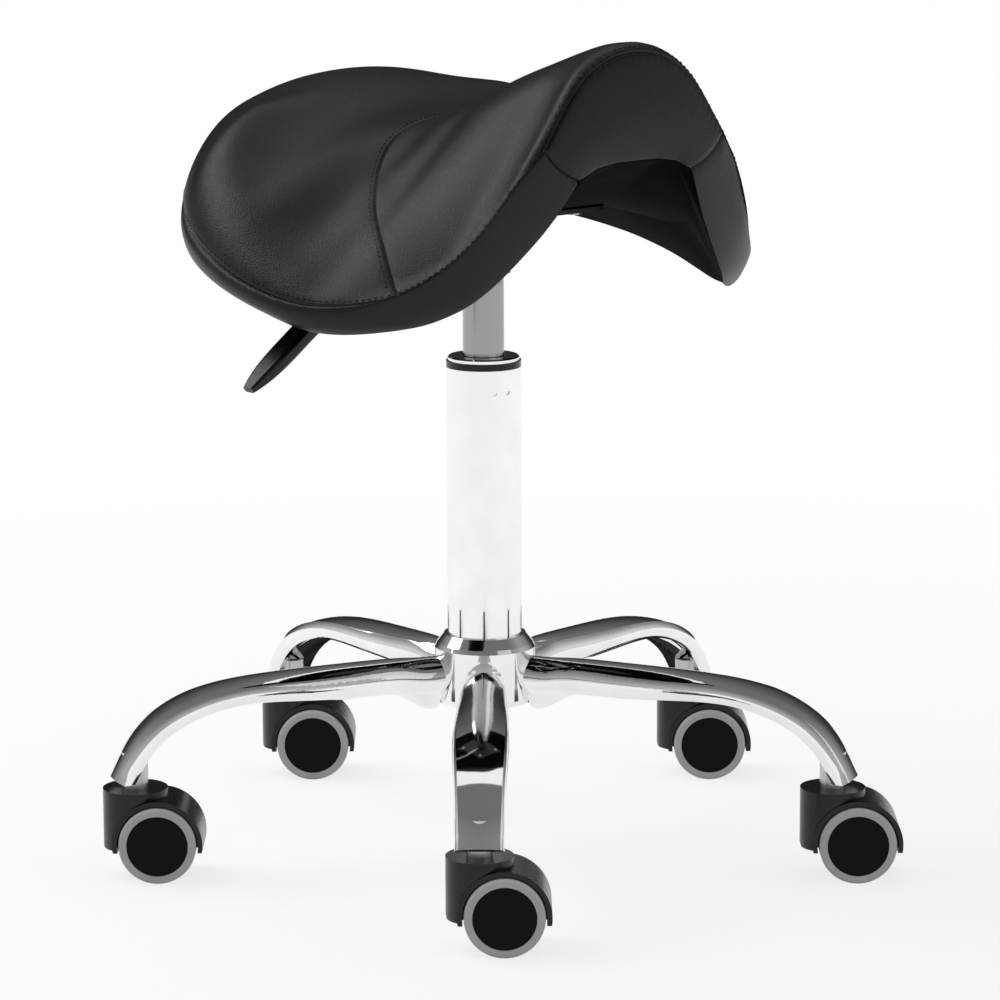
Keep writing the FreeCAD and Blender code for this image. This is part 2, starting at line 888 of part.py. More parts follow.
def seat_shapes():
    outer = saddle_envelope(0.0)
    inner = saddle_envelope(cover_thickness)
    skin = outer.cut(inner)
    reach = 400.0
    face_start = -saddle_stations[0].front + cover_thickness
    pommel = box(-reach, reach, -reach, face_start, 0, 2 * plate_top)
    rest = skin.cut(pommel)
    upper = above_seam()
    top = rest.common(upper)
    front_space = front_of_cross_seam()
    shell = inner.common(under_layer())
    foam = inner.cut(shell)
    border = rest.cut(upper)
    for x, y in bolt_centres():
        border = border.cut(cylinder(bolt_radius, 0, 2 * plate_top, x, y))
    for nut, (x, y) in zip(tee_nut_shapes(), bolt_centres()):
        top_of_shell = plate_top + cover_thickness + shell_thickness
        drilled = nut.fuse(cylinder(bolt_radius, plate_top, top_of_shell, x, y))
        shell = shell.cut(drilled)
        foam = foam.cut(drilled)
    return {
        "seat_cover_front": top.common(front_space),
        "seat_cover_rear": top.cut(front_space),
        "seat_pommel_panel": skin.common(pommel),
        "seat_border": border,
        "seat_foam": foam,
        "seat_shell": shell,
    }


def main():
    os.makedirs("parts", exist_ok=True)
    export("hub", hub_shape())
    export("column_tube", column_shape())
    export("guide_bushing", bushing_shape())
    export("cap_ring", cap_ring_shape())
    export("thrust_bearing", bearing_shape())
    export("piston_rod", rod_shape())
    export("rod_clip", clip_shape())
    export("piston", piston_shape())
    export("gas_cylinder", lift_cylinder_shape())
    export("valve_pin", valve_pin_shape())
    export("mounting_plate", plate_shape())
    export("cone_socket", cone_socket_shape())
    export("lever_rod", lever_shape())
    export("lever_handle", handle_shape())
    export("lever_pivot_pin", pivot_pin_shape())
    export("seat_bolts", Part.makeCompound(bolt_shapes()))
    export("seat_tee_nuts", Part.makeCompound(tee_nut_shapes()))
    for name, shape in seat_shapes().items():
        export(name, shape)
    leg = leg_shape()
    sockets = []
    stems = []
    for index in range(leg_count):
        number = str(index + 1)
        export("leg_" + number, turned(leg, leg_angle(index)))
        sockets.append(turned(socket_shape(), leg_angle(index)))
        stems.append(placed_caster(stem_shape(), index))
        export("caster_housing_" + number, placed_caster(housing_shape(), index))
        export("caster_axle_" + number, placed_caster(axle_shape(), index))
        for side, letter in ((-1, "a"), (1, "b")):
            wheel = number + letter
            export("wheel_disc_" + wheel, placed_caster(on_axle(disc_shape(), side), index))
            export("wheel_tread_" + wheel, placed_caster(on_axle(tread_shape(), side), index))
    export("leg_sockets", Part.makeCompound(sockets))
    export("caster_stems", Part.makeCompound(stems))


main()
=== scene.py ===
import math

import bpy
import numpy as np
from mathutils import Matrix, Vector
from mathutils.kdtree import KDTree


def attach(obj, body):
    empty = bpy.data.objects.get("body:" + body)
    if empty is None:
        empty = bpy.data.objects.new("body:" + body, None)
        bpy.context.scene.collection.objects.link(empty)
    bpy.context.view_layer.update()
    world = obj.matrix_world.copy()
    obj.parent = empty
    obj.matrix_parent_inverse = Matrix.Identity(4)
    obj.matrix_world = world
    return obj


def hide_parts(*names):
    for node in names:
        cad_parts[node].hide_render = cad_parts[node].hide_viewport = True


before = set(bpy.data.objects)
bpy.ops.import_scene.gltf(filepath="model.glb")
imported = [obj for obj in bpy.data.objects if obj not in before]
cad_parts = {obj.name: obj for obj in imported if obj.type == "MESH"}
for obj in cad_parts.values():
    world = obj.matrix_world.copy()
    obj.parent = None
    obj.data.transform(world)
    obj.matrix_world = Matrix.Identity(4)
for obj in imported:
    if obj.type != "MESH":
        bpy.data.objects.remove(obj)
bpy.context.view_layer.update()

MM = 0.001

# Cross-sections of the saddle from pommel to tail, in mm: distance in front of the column, crown height,
# hem half-width and height, flank angle, hem angle and radius, lower edge half-width and height,
# underside height and flat half-width
SECTIONS = (
    (149, 549, 77, 492, 56, 52, 60, 48, 470, 478, 18),
    (141, 553, 97, 469, 54, 48, 60, 62, 446, 474, 20),
    (130, 552, 117, 440, 53, 42, 60, 82, 420, 468, 24),
    (115, 548, 135, 418, 52, 36, 60, 107, 394, 461, 30),
    (95, 541, 156, 402, 50, 32, 60, 130, 380, 451, 40),
    (70, 532, 171, 395, 46, 36, 60, 160, 374, 441, 54),
    (42, 521, 182, 393, 40, 50, 60, 174, 373, 436, 64),
    (10, 508, 189, 397, 33, 66, 45, 182, 380, 436, 66),
    (-28, 497, 191, 407, 0, 76, 56, 185, 390, 436, 66),
    (-60, 498, 187, 418, 0, 80, 68, 181, 398, 436, 66),
    (-95, 511, 174, 430, 0, 82, 88, 167, 406, 436, 64),
    (-125, 519, 154, 440, 0, 74, 90, 146, 414, 436, 56),
    (-150, 515, 131, 445, 0, 75, 80, 122, 419, 437, 46),
    (-172, 506, 102, 448, 0, 76, 70, 93, 423, 438, 34),
    (-188, 493, 69, 449, 0, 76, 53, 62, 426, 440, 20),
    (-199, 466, 26, 450, 0, 70, 16, 22, 431, 441, 6),
)
FRONT, TAIL = SECTIONS[0][0], SECTIONS[-1][0]
BAND_BULGE = 4.0
SEAM_CENTRE, SEAM_SWEEP, SEAM_POWER, SEAM_SIDE = -18.0, 114.0, 3.2, 155.0
FOAM_DEPTH = 3.4
CORE_ROUNDS = 140
TAIL_REACH = 26.0
SHELL_DEPTH = 8.6
NEAR_SEAM = np.array([0, 0.45, 0.9, 1.4, 2.0, 2.8, 3.6, 4.4, 5.6, 7.5, 10.0])


# The saddle's surface

def slopes_of(places, values):
    steps = np.diff(values) / np.diff(places)
    slopes = [steps[0]]
    for a, b in zip(steps, steps[1:]):
        slopes.append(0.0 if a * b <= 0 else 2 * a * b / (a + b))
    return slopes + [steps[-1]]


def all_sections():
    rows = np.array(SECTIONS, dtype=float)
    slopes = np.array([slopes_of(rows[:, 0], column) for column in rows.T]).T
    result = []
    for i in range(len(rows) - 1):
        result.append(rows[i])
        if bool(rows[i][4]) == bool(rows[i + 1][4]):
            gap = rows[i + 1][0] - rows[i][0]
            between = (rows[i] + rows[i + 1]) / 2 + gap * (slopes[i] - slopes[i + 1]) / 8
            between[0] = rows[i][0] + gap / 2
            result.append(between)
    return result + [rows[-1]]


def arc_points(a, b, c, count):
    """Points along the arc from a through b to c in the plane."""
    a, b, c = (np.array(p, dtype=float) for p in (a, b, c))
    ab, ac = b - a, c - a
    turn = 2 * (ab[0] * ac[1] - ab[1] * ac[0])
    if abs(turn) < 1e-9:
        return a + np.linspace(0, 1, count)[:, None] * (c - a)
    centre = a + np.array([
        (ac[1] * (ab @ ab) - ab[1] * (ac @ ac)) / turn,
        (ab[0] * (ac @ ac) - ac[0] * (ab @ ab)) / turn,
    ])
    radius = np.linalg.norm(a - centre)
    start = math.atan2(*(a - centre)[::-1])
    sweep = (math.atan2(*(c - centre)[::-1]) - start) % (2 * math.pi)
    half = (math.atan2(*(b - centre)[::-1]) - start) % (2 * math.pi)
    if half > sweep:
        sweep -= 2 * math.pi
    angles = start + sweep * np.linspace(0, 1, count)
    return centre + radius * np.stack([np.cos(angles), np.sin(angles)], axis=1)


def even_points(points, count):
    """The same line sampled at equal shares of its length."""
    steps = np.linalg.norm(np.diff(points, axis=0), axis=1)
    along = np.concatenate([[0], np.cumsum(steps)])
    places = np.linspace(0, along[-1], count)
    return np.stack([np.interp(places, along, points[:, k]) for k in range(2)], axis=1)


def top_profile(section, count):
    """Half profile of the seat's top from the ridge to the hem seam."""
    _, crown, half_width, hem, flank, hem_angle, hem_radius = section[:7]
    hem_angle = math.radians(hem_angle)
    drop = crown - hem
    if flank:
        flank = math.radians(flank)
        sign = 1 if hem_angle > flank else -1
        reach = half_width - sign * hem_radius * (math.sin(hem_angle) - math.sin(flank))
        fall = drop - sign * hem_radius * (math.cos(flank) - math.cos(hem_angle))
        bend = math.tan(flank / 2)
        straight = (fall - reach * bend) / (math.sin(flank) - math.cos(flank) * bend)
        radius = (reach - straight * math.cos(flank)) / math.sin(flank)
    else:
        sign = 1
        fall = drop - hem_radius * (1 - math.cos(hem_angle))
        reach = half_width - hem_radius * math.sin(hem_angle)
        flank = 2 * math.atan2(fall, reach)
        radius = hem_radius + reach / math.sin(flank)
        straight = 0.0
    angles = np.linspace(0, flank, 160)
    ridge = np.stack([radius * np.sin(angles), crown - radius * (1 - np.cos(angles))], axis=1)
    end = ridge[-1] + straight * np.array([math.cos(flank), -math.sin(flank)])
    angles = np.linspace(flank, hem_angle, 80)
    sweep = np.stack([
        end[0] + sign * hem_radius * (np.sin(angles) - math.sin(flank)),
        end[1] - sign * hem_radius * (math.cos(flank) - np.cos(angles)),
    ], axis=1)
    return even_points(np.concatenate([ridge, sweep]), count)


def band_profile(section, count):
    _, _, half_width, hem, _, _, _, low_half_width, low = section[:9]
    across, fall = half_width - low_half_width, hem - low
    length = math.hypot(across, fall)
    middle = ((half_width + low_half_width) / 2 + fall / length * BAND_BULGE,
              (hem + low) / 2 - across / length * BAND_BULGE)
    return even_points(arc_points((half_width, hem), middle, (low_half_width, low), 60), count)


def under_profile(section, count):
    low_half_width, low, underside, flat = section[7:11]
    across, rise = low_half_width - flat, underside - low
    radius = (across ** 2 + rise ** 2) / (2 * rise)
    angle = 2 * math.atan2(rise, across)
    corners = [(flat + radius * math.sin(a), underside - radius + radius * math.cos(a))
               for a in (angle, angle / 2, 0)]
    return even_points(np.array(corners + [(0, underside)]), count)


def spline_rows(places, rows, at):
    """Smooth curves through the rows, read at the places asked for."""
    n = len(places)
    h = np.diff(places)
    flat = rows.reshape(n, -1)
    system = np.zeros((n, n))
    right = np.zeros((n, flat.shape[1]))
    system[0, 0] = system[-1, -1] = 1
    for i in range(1, n - 1):
        system[i, i - 1:i + 2] = h[i - 1], 2 * (h[i - 1] + h[i]), h[i]
        right[i] = 6 * ((flat[i + 1] - flat[i]) / h[i] - (flat[i] - flat[i - 1]) / h[i - 1])
    bend = np.linalg.solve(system, right)
    index = np.clip(np.searchsorted(places, at, side="right") - 1, 0, n - 2)
    a = ((places[index + 1] - at) / h[index])[:, None]
    b = 1 - a
    hh = (h[index] ** 2 / 6)[:, None]
    bent = (a ** 3 - a) * bend[index] + (b ** 3 - b) * bend[index + 1]
    out = a * flat[index] + b * flat[index + 1] + hh * bent
    return out.reshape((len(at),) + rows.shape[1:])


class Strip:
    """One lengthwise strip of the surface: point by distance in front and share across."""

    def __init__(self, profile, samples=241):
        sections = all_sections()[::-1]
        places = np.array([s[0] for s in sections])
        rows = np.array([profile(s, samples) for s in sections])
        self.places = np.linspace(TAIL, FRONT, int(FRONT - TAIL) + 1)
        self.table = spline_rows(places, rows, self.places)
        self.samples = samples
        self.lengths = np.linalg.norm(np.diff(self.table, axis=1), axis=2).sum(axis=1)

    def length(self, front):
        return np.interp(front, self.places, self.lengths)

    def at(self, front, share):
        front, share = np.broadcast_arrays(np.asarray(front, float), np.asarray(share, float))
        row = np.clip(front - TAIL, 0, len(self.places) - 1)
        column = np.clip(share, 0, 1) * (self.samples - 1)
        r = np.minimum(row.astype(int), len(self.places) - 2)
        c = np.minimum(column.astype(int), self.samples - 2)
        u, v = (row - r)[..., None], (column - c)[..., None]
        t = self.table
        near = t[r, c] * (1 - u) + t[r + 1, c] * u
        far = t[r, c + 1] * (1 - u) + t[r + 1, c + 1] * u
        flat = near * (1 - v) + far * v
        return np.stack([flat[..., 0], -front, flat[..., 1]], axis=-1)


def cross_seam(side):
    return SEAM_CENTRE + SEAM_SWEEP * (np.abs(side) / SEAM_SIDE) ** SEAM_POWER


def places_between(length, middle_count):
    """Distances from one end of a panel to the other, close together near both ends."""
    near = NEAR_SEAM
    middle = np.linspace(0, 1, middle_count)[1:-1]
    length = np.asarray(length, float)[..., None]
    centre = near[-1] + (length - 2 * near[-1]) * middle
    first = np.broadcast_to(near, length.shape[:-1] + near.shape)
    return np.concatenate([first, centre, length - first[..., ::-1]], axis=-1)


def saddle_grid():
    top, band, under = Strip(top_profile), Strip(band_profile), Strip(under_profile)
    fronts = top.places[::-1]
    lengths = top.length(fronts)
    across = [1 - NEAR_SEAM[k] / lengths for k in range(len(NEAR_SEAM))]
    for share in np.linspace(0, 1, 78)[1:]:
        across.append((1 - share) * across[len(NEAR_SEAM) - 1])
    across = np.array(across)
    columns = len(across)
    front_rows, rear_rows = [], []
    for share in across:
        points = top.at(fronts, share)
        ahead = fronts - cross_seam(points[:, 0])
        k = int(np.argmax(ahead < 0))
        seam = fronts[k - 1] - ahead[k - 1] / (ahead[k - 1] - ahead[k])
        front_rows.append(FRONT - places_between(FRONT - seam, 48))
        rear_rows.append(seam - places_between(seam - TAIL, 60))
    front_rows, rear_rows = np.array(front_rows), np.array(rear_rows)
    seam_row = front_rows.shape[1] - 1
    rows = np.concatenate([front_rows, rear_rows[:, 1:]], axis=1).T
    shares = np.array([np.interp(-rows[:, j], -fronts, across[j]) for j in range(columns)]).T
    top_half = top.at(rows, shares)
    hem_rows = rows[:, :1]
    first = [0, 0.02, 0.045, 0.08, 0.12, 0.17, 0.23]
    last = [0.81, 0.86, 0.9, 0.935, 0.965, 0.985, 1]
    ease = np.concatenate([first, np.linspace(0.3, 0.75, 8), last])
    band_half = band.at(hem_rows, ease[None, :])
    share = np.concatenate([[0, 0.005, 0.012, 0.022, 0.035, 0.052], np.linspace(0.07, 1, columns - 6)])
    under_half = under.at(hem_rows, share[None, :])
    half = np.concatenate([top_half[:, ::-1], band_half[:, 1:], under_half[:, 1:]], axis=1)
    return half, columns, len(ease), seam_row


half, top_columns, band_columns, seam_row = saddle_grid()
HALF_COLUMNS = half.shape[1]
HEM = top_columns - 1
LOW = HEM + band_columns - 1
RING = 2 * HALF_COLUMNS - 2
TAIL_ROWS = 7
FACE_BULGE = 6.0


def ring_grid(half):
    """The rows as closed rings, right side first, then a rounded tail down to a point."""
    left = half[:, -2:0:-1] * np.array([-1, 1, 1])
    rings = np.concatenate([half, left], axis=1)
    pad = (np.abs(rings[..., 0]) < 64) & (rings[..., 1] > -53) & (rings[..., 1] < 94) & (rings[..., 2] < 445)
    rings[..., 2] = np.where(pad, np.maximum(rings[..., 2], 437.1), rings[..., 2])
    centre = np.array([0, -TAIL, 450.0])
    closing = []
    for k in range(1, TAIL_ROWS + 1):
        turn = math.pi / 2 * k / TAIL_ROWS
        ring = centre + (rings[-1] - centre) * math.cos(turn)
        ring[:, 1] = -TAIL + 3.0 * math.sin(turn)
        closing.append(ring)
    return np.concatenate([rings, np.array(closing)])


def face_grid(rings):
    """The pommel's face between the ridge line and the front of the underside."""
    first = rings[0]
    upper = np.concatenate([first[HEM::-1], first[:RING - HEM - 1:-1]])
    lower = first[LOW:LOW + len(upper)]
    right = first[HEM:LOW + 1]
    left = right * np.array([-1, 1, 1])
    down = np.linalg.norm(right - right[0], axis=1)
    down = (down / down[-1])[:, None, None]
    across = np.linspace(0, 1, len(upper))[None, :, None]
    flat = upper * (1 - down) + lower * down
    edge_right = (right - (right[0] + (right[-1] - right[0]) * down[:, 0]))[:, None]
    edge_left = (left - (left[0] + (left[-1] - left[0]) * down[:, 0]))[:, None]
    flat = flat + edge_right * (1 - across) ** 6 + edge_left * across ** 6
    bulge_down = np.sin(math.pi * down[..., 0] ** 1.2) ** 0.8
    bulge_across = np.sin(math.pi * across[..., 0]) ** 0.5
    flat[..., 1] -= FACE_BULGE * bulge_down * bulge_across
    return flat


def weld(rings, face):
    points = np.concatenate([rings.reshape(-1, 3), face.reshape(-1, 3)])
    _, first, inverse = np.unique(np.round(points, 2), axis=0, return_index=True, return_inverse=True)
    inverse = inverse.reshape(-1)
    ring_ids = inverse[:rings.shape[0] * RING].reshape(rings.shape[0], RING)
    face_ids = inverse[rings.shape[0] * RING:].reshape(face.shape[:2])
    return points[first], ring_ids, face_ids


def quads_of(ids, closed):
    following = np.roll(ids, -1, axis=1) if closed else ids[:, 1:]
    here = ids if closed else ids[:, :-1]
    return np.stack([here[:-1], following[:-1], following[1:], here[1:]], axis=-1)


def vertex_normals(points, quads):
    a, b, c, d = (points[quads[:, k]] for k in range(4))
    face = np.cross(c - a, d - b)
    normals = np.zeros_like(points)
    for k in range(4):
        np.add.at(normals, quads[:, k], face)
    return normals / np.maximum(np.linalg.norm(normals, axis=1), 1e-9)[:, None]


def steady_normals(points, quads):
    """Outward directions, evened out so that a tight fold can't turn one over."""
    normals = smoothed(vertex_normals(points, quads), quads, np.full(len(points), 0.6), 12)
    return normals / np.maximum(np.linalg.norm(normals, axis=1), 1e-9)[:, None]


def smoothed(points, quads, weights, rounds):
    edges = np.concatenate([quads[:, [0, 1]], quads[:, [1, 2]], quads[:, [2, 3]], quads[:, [3, 0]]])
    edges = edges[edges[:, 0] != edges[:, 1]]
    counts = np.bincount(edges.ravel(), minlength=len(points))[:, None]
    for _ in range(rounds):
        total = np.zeros_like(points)
        np.add.at(total, edges[:, 0], points[edges[:, 1]])
        np.add.at(total, edges[:, 1], points[edges[:, 0]])
        points = points + (total / counts - points) * weights[:, None]
    return points


def nearest(points, lines):
    """Distance to the nearest of the lines, and how far along it that is."""
    steps = [np.linalg.norm(np.diff(line, axis=0), axis=1) for line in lines]
    along = np.concatenate([np.concatenate([[0], np.cumsum(step)]) for step in steps])
    marks = np.concatenate(lines)
    tree = KDTree(len(marks))
    for index, mark in enumerate(marks):
        tree.insert(Vector(mark), index)
    tree.balance()
    found = [tree.find(Vector(p)) for p in points]
    return np.array([f[2] for f in found]), along[[f[1] for f in found]]


rings = ring_grid(half)
face = face_grid(rings)
points, ring_ids, face_ids = weld(rings, face)
ring_quads = quads_of(ring_ids, True)
face_quads = quads_of(face_ids, False)
all_quads = np.concatenate([ring_quads.reshape(-1, 4), face_quads.reshape(-1, 4)])

right_hem, left_hem = ring_ids[:, HEM], ring_ids[:, RING - HEM]
right_low, left_low = ring_ids[:, LOW], ring_ids[:, RING - LOW]
over = list(range(HEM, -1, -1)) + list(range(RING - 1, RING - HEM - 1, -1))
cross_ids = ring_ids[seam_row, over]
edge_ids = ring_ids[0, over]
short_ids = [ring_ids[0, HEM:LOW + 1], ring_ids[0, RING - LOW:RING - HEM + 1]]

hard = [points[right_low], points[left_low], points[ring_ids[0]], points[ring_ids[-2]], points[ring_ids[-4]]]
gap, _ = nearest(points, hard)
points = smoothed(points, all_quads, 0.5 * np.clip(1.25 - gap / 6, 0, 1), 14)
gap, _ = nearest(points, [points[ring_ids[-2]]])
points = smoothed(points, all_quads, 0.5 * np.clip(1.2 - gap / 30, 0, 1), 30)

seams = [points[line_ids] for line_ids in [right_hem, left_hem, cross_ids, edge_ids] + short_ids]
gap, along = nearest(points, seams)
normals = steady_normals(points, all_quads)
dip = 1.15 * np.exp(-(gap / 0.95) ** 2) + 0.75 * np.exp(-(gap / 4.5) ** 2)
pucker = 0.16 * np.sin(2 * math.pi * along / 6.4) * np.exp(-((gap - 3.0) / 3.2) ** 2)
across_wave = np.sin(points[:, 0] / 13 + 1.7 * np.sin(points[:, 1] / 21))
along_wave = np.sin(points[:, 1] / 17 + points[:, 2] / 25)
waves = 0.12 * across_wave * along_wave
points = points + normals * (pucker + waves - dip)[:, None]
normals = steady_normals(points, all_quads)


def stitched(line_ids, step=4.3, length=3.1, width=0.34):
    """Short raised threads along a line of the cover."""
    line, lift = points[line_ids], normals[line_ids]
    along = np.concatenate([[0], np.cumsum(np.linalg.norm(np.diff(line, axis=0), axis=1))])
    vertices, faces = [], []
    count = int((along[-1] - 4) / step)
    rings = 5
    sides = 6
    for index in range(count):
        places = 2 + index * step + length * np.linspace(0, 1, rings)
        centre = np.stack([np.interp(places, along, line[:, k]) for k in range(3)], axis=1)
        up = np.stack([np.interp(places, along, lift[:, k]) for k in range(3)], axis=1)
        up /= np.linalg.norm(up, axis=1)[:, None]
        run = np.gradient(centre, axis=0)
        run /= np.linalg.norm(run, axis=1)[:, None]
        side = np.cross(run, up)
        for r in range(rings):
            share = r / (rings - 1)
            swell = 0.35 + 0.65 * math.sin(math.pi * share) ** 0.5 if 0 < share < 1 else 0.35
            raised = centre[r] + up[r] * (0.3 * math.sin(math.pi * share) - 0.08)
            for s in range(sides):
                angle = 2 * math.pi * s / sides
                outwards = math.cos(angle) * side[r] + math.sin(angle) * up[r]
                vertices.append(raised + width * swell * outwards)
        base = len(vertices) - rings * sides
        for r in range(rings - 1):
            for s in range(sides):
                t = (s + 1) % sides
                low, high = base + r * sides, base + (r + 1) * sides
                faces.append((low + s, high + s, high + t, low + t))
        faces.append([base + s for s in range(sides)])
        faces.append([base + (rings - 1) * sides + s for s in reversed(range(sides))])
    return vertices, faces


def new_piece(name, vertices, faces, material, body):
    mesh = bpy.data.meshes.new(name)
    mesh.from_pydata([tuple(float(c) * MM for c in v) for v in vertices], [], faces)
    mesh.validate()
    mesh.polygons.foreach_set("use_smooth", [True] * len(mesh.polygons))
    mesh.materials.append(material)
    piece = bpy.data.objects.new(name, mesh)
    bpy.context.collection.objects.link(piece)
    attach(piece, body)
    return piece


def panel(name, quads, material):
    quads = quads.reshape(-1, 4)
    used, inverse = np.unique(quads, return_inverse=True)
    inverse = inverse.reshape(-1, 4)
    faces = []
    for quad in inverse.tolist():
        kept = [v for k, v in enumerate(quad) if v != quad[k - 1]]
        if len(kept) > 2:
            faces.append(kept)
    return new_piece(name, points[used], faces, material, "seat")


# Materials

def material(name, **values):
    made = bpy.data.materials.new(name)
    made.use_nodes = True
    shader = made.node_tree.nodes["Principled BSDF"]
    for key, value in values.items():
        shader.inputs[key].default_value = value
    return made, made.node_tree, shader


def add(tree, kind, inputs=(), **settings):
    node = tree.nodes.new(kind)
    for key, value in settings.items():
        setattr(node, key, value)
    for key, value in dict(inputs).items():
        if isinstance(value, bpy.types.NodeSocket):
            tree.links.new(value, node.inputs[key])
        else:
            node.inputs[key].default_value = value
    return node


def coordinates(tree):
    return add(tree, "ShaderNodeTexCoord").outputs["Object"]


def noise(tree, scale, detail=3.0, vector=None, **more):
    inputs = {"Vector": vector or coordinates(tree), "Scale": scale, "Detail": detail, **more}
    return add(tree, "ShaderNodeTexNoise", inputs)


def ramp(tree, value, low, high, low_at=0.3, high_at=0.7):
    node = add(tree, "ShaderNodeValToRGB", {"Fac": value})
    node.color_ramp.elements[0].position = low_at
    node.color_ramp.elements[1].position = high_at
    node.color_ramp.elements[0].color = low if len(low) == 4 else (*low, 1)
    node.color_ramp.elements[1].color = high if len(high) == 4 else (*high, 1)
    return node.outputs["Color"]


def spread(tree, value, low, high):
    return add(tree, "ShaderNodeMapRange", {"Value": value, "To Min": low, "To Max": high}).outputs["Result"]


def spread_from(tree, value, low, high):
    inputs = {"Value": value, "From Min": low, "From Max": high}
    return add(tree, "ShaderNodeMapRange", inputs).outputs["Result"]


def bump(tree, height, strength, distance, normal=None):
    inputs = {"Height": height, "Strength": strength, "Distance": distance}
    if normal is not None:
        inputs["Normal"] = normal
    return add(tree, "ShaderNodeBump", inputs).outputs["Normal"]


def leather(name, dark, pale, rough_low, rough_high, grain):
    made, tree, shader = material(name)
    shader.inputs["Specular IOR Level"].default_value = 0.30
    place = coordinates(tree)
    warp = noise(tree, 260.0, 2.0, place)
    small = add(tree, "ShaderNodeVectorMath", {0: warp.outputs["Color"], "Scale": 0.0011}, operation="SCALE")
    moved = add(tree, "ShaderNodeVectorMath", {0: place, 1: small.outputs["Vector"]}, operation="ADD")
    cell_inputs = {"Vector": moved.outputs["Vector"], "Scale": 620.0}
    cells = add(tree, "ShaderNodeTexVoronoi", cell_inputs, feature="DISTANCE_TO_EDGE")
    pores = noise(tree, 2400.0, 2.0, place)
    broad = noise(tree, 14.0, 4.0, place)
    creases = spread(tree, cells.outputs["Distance"], 0.0, 1.0)
    shape = add(tree, "ShaderNodeMath", {0: creases, 1: 0.5}, operation="MINIMUM")
    fine = bump(tree, pores.outputs["Fac"], 0.25, 0.0001)
    grained = bump(tree, shape.outputs["Value"], grain, 0.00045, fine)
    shader_normal = bump(tree, broad.outputs["Fac"], 0.35, 0.0012, grained)
    tree.links.new(shader_normal, shader.inputs["Normal"])
    tree.links.new(ramp(tree, broad.outputs["Fac"], dark, pale), shader.inputs["Base Color"])
    tree.links.new(spread(tree, broad.outputs["Fac"], rough_low, rough_high), shader.inputs["Roughness"])
    return made


def plated(name, colour, rough_low, rough_high, wave, streaks=None):
    made, tree, shader = material(name, Metallic=1.0)
    place = coordinates(tree)
    smudge = noise(tree, 40.0, 3.0, place)
    tone = tuple(0.93 * c for c in colour)
    tree.links.new(ramp(tree, smudge.outputs["Fac"], tone, colour), shader.inputs["Base Color"])
    tree.links.new(spread(tree, smudge.outputs["Fac"], rough_low, rough_high), shader.inputs["Roughness"])
    wide = noise(tree, 22.0, 1.0, place)
    normal = bump(tree, wide.outputs["Fac"], wave, 0.002)
    if streaks:
        stretched = add(tree, "ShaderNodeMapping", {"Vector": place, "Scale": streaks})
        lines = noise(tree, 1.0, 4.0, stretched.outputs["Vector"])
        normal = bump(tree, lines.outputs["Fac"], 0.12, 0.0002, normal)
    tree.links.new(normal, shader.inputs["Normal"])
    return made


def plastic(name, dark, pale, rough_low, rough_high, scale=1800.0, depth=0.00012, sheen=0.5):
    made, tree, shader = material(name)
    shader.inputs["Specular IOR Level"].default_value = sheen
    place = coordinates(tree)
    fine = noise(tree, scale, 3.0, place)
    broad = noise(tree, 60.0, 4.0, place)
    tree.links.new(ramp(tree, broad.outputs["Fac"], dark, pale), shader.inputs["Base Color"])
    tree.links.new(spread(tree, broad.outputs["Fac"], rough_low, rough_high), shader.inputs["Roughness"])
    tree.links.new(bump(tree, fine.outputs["Fac"], 0.5, depth), shader.inputs["Normal"])
    return made


cover = leather("cover_leather", (0.0024, 0.0023, 0.0028), (0.0042, 0.0040, 0.0045), 0.33, 0.44, 0.55)
thread = leather("cover_thread", (0.010, 0.010, 0.012), (0.020, 0.019, 0.022), 0.45, 0.6, 0.2)
chrome = plated("bright_chrome", (0.90, 0.90, 0.91), 0.035, 0.09, 0.10)
satin = plated("satin_chrome", (0.95, 0.95, 0.955), 0.16, 0.22, 0.02, (60.0, 60.0, 900.0))
cylinder_finish = plated("cylinder_chrome", (0.36, 0.36, 0.37), 0.16, 0.24, 0.02, (60.0, 60.0, 1200.0))
steel = plated("plain_steel", (0.58, 0.58, 0.59), 0.25, 0.38, 0.05, (500.0, 500.0, 60.0))
zinc = plated("zinc_plate", (0.66, 0.66, 0.64), 0.30, 0.45, 0.05)
black_metal = plastic("black_powder_coat", (0.010, 0.010, 0.010), (0.018, 0.018, 0.018), 0.45, 0.6,
                      900.0, 0.0003)
black_plastic = plastic("black_moulded", (0.003, 0.003, 0.0035), (0.006, 0.006, 0.0065), 0.20,
                        0.32, sheen=0.35)
disc_plastic = plastic("black_disc", (0.0025, 0.0025, 0.0025), (0.0045, 0.0045, 0.0045), 0.48,
                       0.62, sheen=0.12)
tread_rubber = plastic("pale_tread", (0.80, 0.80, 0.80), (0.88, 0.88, 0.88), 0.45, 0.6, 900.0, 0.0002)
foam_finish = plastic("foam", (0.70, 0.62, 0.40), (0.80, 0.73, 0.52), 0.8, 0.95, 700.0, 0.0008)
plywood = plastic("plywood", (0.40, 0.26, 0.13), (0.55, 0.38, 0.20), 0.5, 0.7, 300.0, 0.0003)
under_cloth = plastic("under_cloth", (0.003, 0.003, 0.0035), (0.006, 0.006, 0.0065), 0.8, 0.95,
                      1400.0, 0.0005, 0.04)

